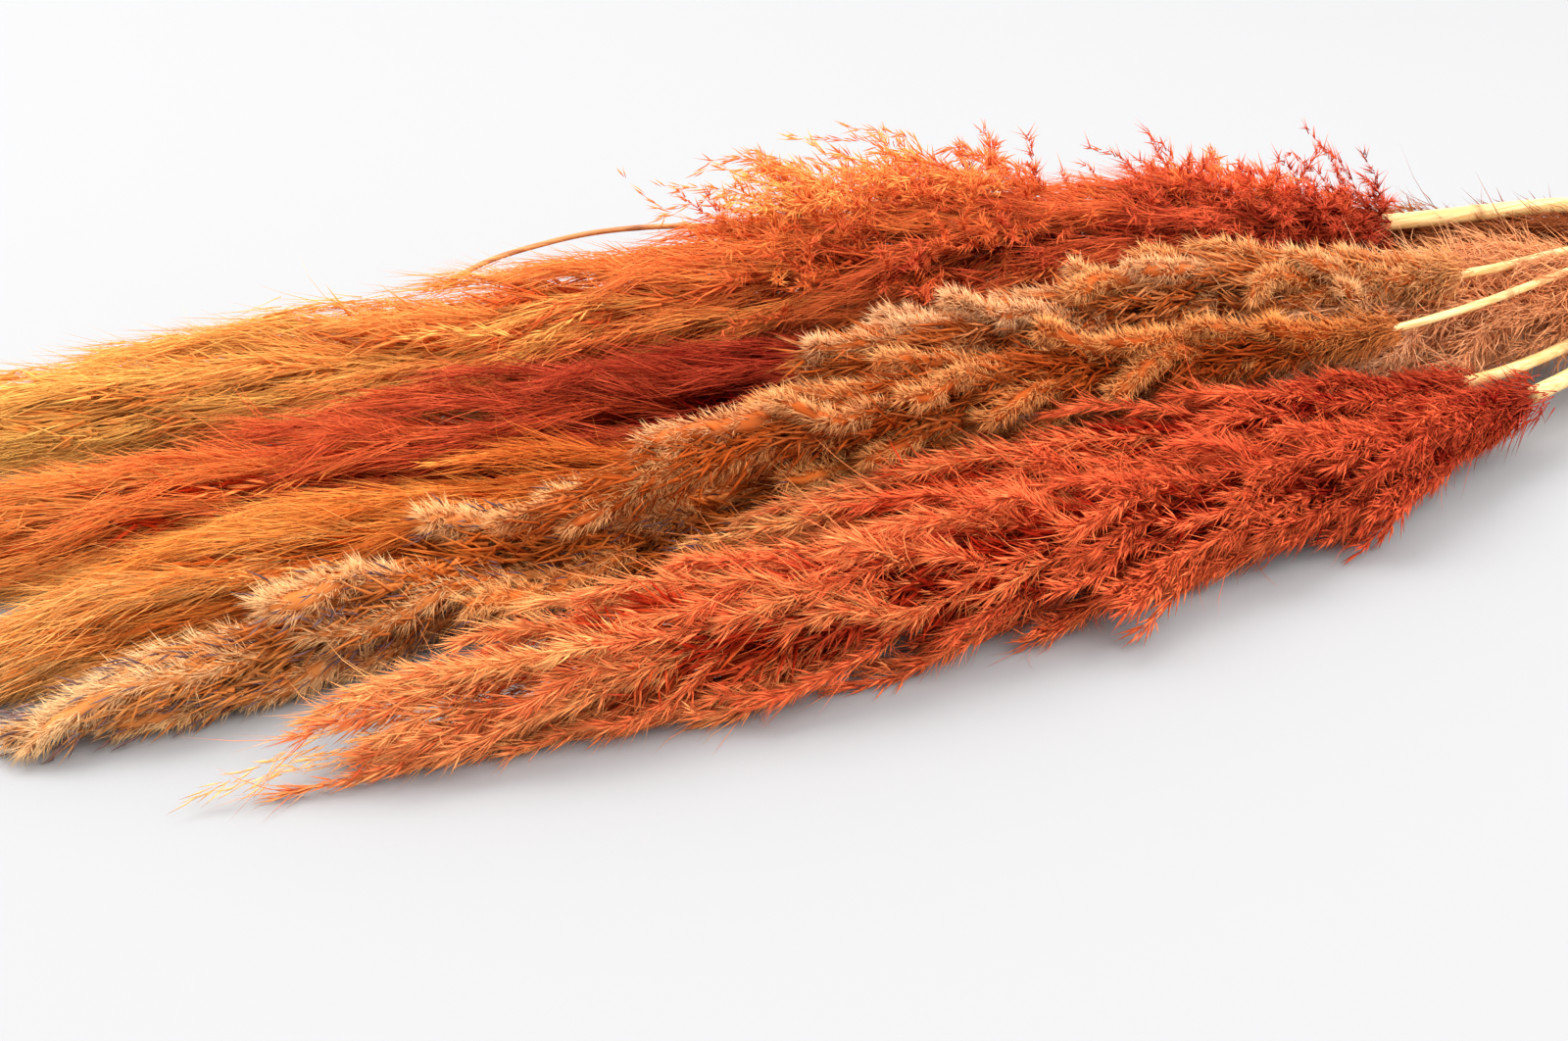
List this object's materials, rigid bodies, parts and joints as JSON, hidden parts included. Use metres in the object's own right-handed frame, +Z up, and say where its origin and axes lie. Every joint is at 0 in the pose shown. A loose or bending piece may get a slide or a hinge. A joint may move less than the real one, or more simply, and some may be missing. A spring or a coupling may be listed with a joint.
{
  "type": "bundle of pampas grass",
  "caption": "Long tied bundle of dyed, dried feather-grass reeds lying flat, fluffy rust, orange, amber and tan plumes fanned at one end and bare straw stems bound with twine at the other",
  "frame": {"origin": "middle of the bounding box's footprint, on the surface that the bundle lies on", "axes": "+X runs along the bundle from the plume tips to the cut stem ends, +Z is up, +Y is across the bundle toward the large orange plumes"},
  "size_m": [0.948, 0.3054, 0.0873],
  "materials": {
    "rust_plume": "matte",
    "straw_plume": "matte",
    "tan_plume": "matte",
    "orange_plume": "matte",
    "amber_plume": "matte",
    "peach_plume": "matte",
    "brown_plume": "matte",
    "straw_stem": "satin",
    "bare_stalk": "matte",
    "twine": "matte"
  },
  "bodies": {
    "root": {"plume_front_rust": "rust_plume", "plume_front_inner": "rust_plume", "plume_tan_low": "straw_plume", "plume_tan_middle": "tan_plume", "plume_tan_top": "tan_plume", "plume_back_top": "orange_plume", "plume_back_middle": "orange_plume", "plume_back_far": "orange_plume", "plume_amber_left": "amber_plume", "plume_peach_right": "peach_plume", "plume_brown_right": "brown_plume", "stem_front_rust": "straw_stem", "stem_front_inner": "straw_stem", "stem_tan_low": "straw_stem", "stem_tan_middle": "straw_stem", "stem_tan_top": "straw_stem", "stem_back_top": "straw_stem", "stem_back_middle": "straw_stem", "stem_back_far": "straw_stem", "stem_amber_left": "straw_stem", "stem_peach_right": "straw_stem", "stem_brown_right": "straw_stem", "bare_stalk": "bare_stalk", "twine_tie": "twine"}
  },
  "joints": []
}
